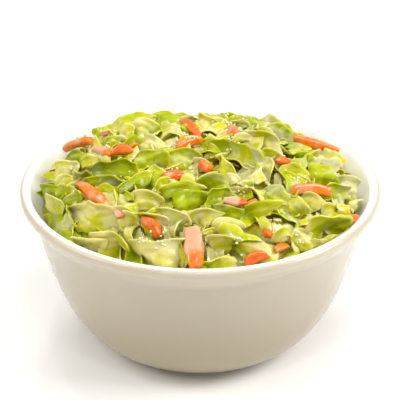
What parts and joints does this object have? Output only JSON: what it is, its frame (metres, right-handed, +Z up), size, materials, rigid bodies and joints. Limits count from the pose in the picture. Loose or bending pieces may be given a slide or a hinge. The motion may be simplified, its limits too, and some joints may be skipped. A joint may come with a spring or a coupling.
{
  "type": "bowl of coleslaw",
  "caption": "White round porcelain side bowl with a rolled, flared rim, heaped with dressed chopped cabbage leaf, pale ribs and carrot sticks.",
  "frame": {"origin": "centre of the bowl's foot, on the surface it stands on", "axes": "+Z up out of the bowl; -Y towards the side the heap is dressed to be seen from; +X to the right as seen from there"},
  "size_m": [0.116, 0.116, 0.0686],
  "materials": {
    "porcelain": "gloss",
    "cabbage": "satin",
    "carrot": "satin",
    "dressing": "gloss"
  },
  "bodies": {
    "root": {"bowl": "porcelain", "coleslaw": "cabbage"}
  },
  "joints": []
}
